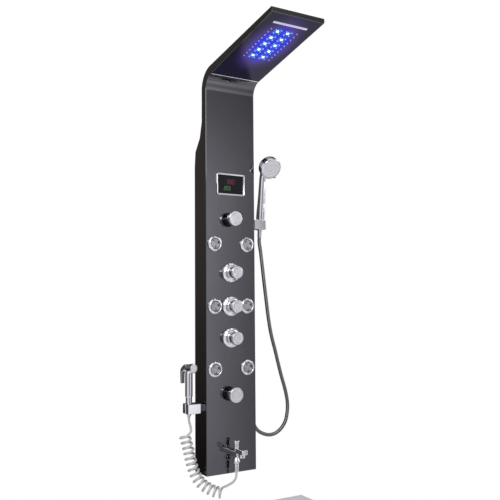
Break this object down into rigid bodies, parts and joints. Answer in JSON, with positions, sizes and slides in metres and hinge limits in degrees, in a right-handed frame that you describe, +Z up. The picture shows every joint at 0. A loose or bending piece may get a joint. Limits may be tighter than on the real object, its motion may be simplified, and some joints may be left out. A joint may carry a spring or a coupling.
{
  "type": "rainfall shower column",
  "caption": "Wall-hung shower column: tall sheet-metal panel that bends into an overhead rain and waterfall head, with display, knobs, swivelling jets, spout, hand shower and trigger sprayer.",
  "frame": {"origin": "centre of the upper wall bracket's back face, on the wall", "axes": "+X to the right seen from the front, +Y into the wall, +Z up"},
  "size_m": [0.4629, 0.5211, 1.5776],
  "materials": {
    "black_steel": "gloss",
    "chrome": "polished",
    "satin_chrome": "satin",
    "brass": "cast",
    "grey_silicone": "matte",
    "black_plastic": "matte",
    "dark_glass": "gloss",
    "led_board": "matte",
    "galvanised": "satin",
    "hose_steel": "polished",
    "hose_grey": "satin"
  },
  "bodies": {
    "panel": {"front_shell": "black_steel", "head_plate": "black_steel", "rear_cover": "black_steel", "upper_wall_bracket": "galvanised", "lower_wall_bracket": "galvanised", "valve_manifold": "brass", "hydro_turbine": "black_plastic", "riser_pipe": "galvanised", "rain_chamber": "black_plastic", "nozzle_mat": "grey_silicone", "led_board": "led_board", "waterfall_lip": "chrome", "display_bezel": "chrome", "display_lens": "dark_glass", "display_module": "black_plastic", "spout_body": "chrome", "aerator": "chrome", "coil_hose_nut": "chrome", "hose_outlet_elbow": "chrome", "shower_hose_nut": "chrome", "handset_holder": "chrome", "sprayer_holder": "chrome", "shower_hose": "hose_steel", "coil_hose_top": "hose_grey", "coil_hose": "hose_grey", "coil_hose_end": "hose_grey", "waterfall_flange": "chrome", "mixer_flange": "chrome", "jets_flange": "chrome", "upper_left_jet_ring": "chrome", "upper_right_jet_ring": "chrome", "middle_left_jet_ring": "chrome", "middle_right_jet_ring": "chrome", "lower_left_jet_ring": "chrome", "lower_right_jet_ring": "chrome"},
    "rain_control": {"rain_knob": "chrome", "rain_spindle": "brass"},
    "waterfall_control": {"waterfall_knob": "chrome", "waterfall_spindle": "brass"},
    "mixer_control": {"mixer_knob": "chrome", "mixer_spindle": "brass"},
    "jets_control": {"jets_knob": "chrome", "jets_spindle": "brass"},
    "handset_control": {"handset_knob": "chrome", "handset_spindle": "brass"},
    "upper_left_jet": {"upper_left_jet_ball": "satin_chrome"},
    "upper_right_jet": {"upper_right_jet_ball": "satin_chrome"},
    "middle_left_jet": {"middle_left_jet_ball": "satin_chrome"},
    "middle_right_jet": {"middle_right_jet_ball": "satin_chrome"},
    "lower_left_jet": {"lower_left_jet_ball": "satin_chrome"},
    "lower_right_jet": {"lower_right_jet_ball": "satin_chrome"},
    "diverter": {"diverter_knob": "chrome"},
    "handset_hose_end": {"handset_hose_cone": "chrome"},
    "handset": {"handset_body": "chrome", "handset_face": "satin_chrome"},
    "selector": {"selector_ring": "chrome"},
    "sprayer_hose_end": {"sprayer_hose_cone": "chrome"},
    "sprayer": {"sprayer_body": "chrome", "sprayer_face": "satin_chrome"},
    "trigger": {"sprayer_trigger": "chrome"}
  },
  "joints": [
    {"name": "rain_knob_turn", "type": "hinge", "parent": "panel", "child": "rain_control", "pos_m": [0, -0.086, -0.109], "axis": [0, -1, 0], "range_deg": [0, 90]},
    {"name": "waterfall_knob_turn", "type": "hinge", "parent": "panel", "child": "waterfall_control", "pos_m": [0, -0.086, -0.3], "axis": [0, -1, 0], "range_deg": [0, 90]},
    {"name": "mixer_knob_turn", "type": "hinge", "parent": "panel", "child": "mixer_control", "pos_m": [0, -0.086, -0.419], "axis": [0, -1, 0], "range_deg": [-90, 90]},
    {"name": "jets_knob_turn", "type": "hinge", "parent": "panel", "child": "jets_control", "pos_m": [0, -0.086, -0.53], "axis": [0, -1, 0], "range_deg": [0, 90]},
    {"name": "handset_knob_turn", "type": "hinge", "parent": "panel", "child": "handset_control", "pos_m": [0, -0.086, -0.727], "axis": [0, -1, 0], "range_deg": [0, 90]},
    {"name": "upper_left_jet_tilt", "type": "hinge", "parent": "panel", "child": "upper_left_jet", "pos_m": [-0.0655, -0.085, -0.198], "axis": [1, 0, 0], "range_deg": [-15, 15]},
    {"name": "upper_right_jet_tilt", "type": "hinge", "parent": "panel", "child": "upper_right_jet", "pos_m": [0.0655, -0.085, -0.198], "axis": [1, 0, 0], "range_deg": [-15, 15]},
    {"name": "middle_left_jet_tilt", "type": "hinge", "parent": "panel", "child": "middle_left_jet", "pos_m": [-0.0655, -0.085, -0.4185], "axis": [1, 0, 0], "range_deg": [-15, 15]},
    {"name": "middle_right_jet_tilt", "type": "hinge", "parent": "panel", "child": "middle_right_jet", "pos_m": [0.0655, -0.085, -0.4185], "axis": [1, 0, 0], "range_deg": [-15, 15]},
    {"name": "lower_left_jet_tilt", "type": "hinge", "parent": "panel", "child": "lower_left_jet", "pos_m": [-0.0655, -0.085, -0.6375], "axis": [1, 0, 0], "range_deg": [-15, 15]},
    {"name": "lower_right_jet_tilt", "type": "hinge", "parent": "panel", "child": "lower_right_jet", "pos_m": [0.0655, -0.085, -0.6375], "axis": [1, 0, 0], "range_deg": [-15, 15]},
    {"name": "diverter_lift", "type": "slide", "parent": "panel", "child": "diverter", "axis": [0, 0, 1], "range_m": [0, 0.01]},
    {"name": "handset_lift", "type": "slide", "parent": "panel", "child": "handset_hose_end", "axis": [0, -0.1219, 0.9925], "range_m": [0, 0.06]},
    {"name": "handset_swivel", "type": "hinge", "parent": "handset_hose_end", "child": "handset", "pos_m": [0.148, -0.0475, -0.12], "axis": [0, -0.1219, 0.9925], "range_deg": [-10, 90]},
    {"name": "selector_turn", "type": "hinge", "parent": "handset", "child": "selector", "pos_m": [0.148, -0.12971, 0.07776], "axis": [0, -0.829, -0.5592], "range_deg": [0, 60]},
    {"name": "sprayer_lift", "type": "slide", "parent": "panel", "child": "sprayer_hose_end", "axis": [0, 0, 1], "range_m": [0, 0.06]},
    {"name": "sprayer_swivel", "type": "hinge", "parent": "sprayer_hose_end", "child": "sprayer", "pos_m": [-0.148, -0.0475, -0.77], "axis": [0, 0, 1], "range_deg": [-90, 90]},
    {"name": "trigger_press", "type": "hinge", "parent": "sprayer", "child": "trigger", "pos_m": [-0.15158, -0.035, -0.625], "axis": [-0.9613, -0.2756, 0], "range_deg": [0, 8], "stiffness_Nm_per_rad": 1, "springref_deg": -17.19}
  ]
}
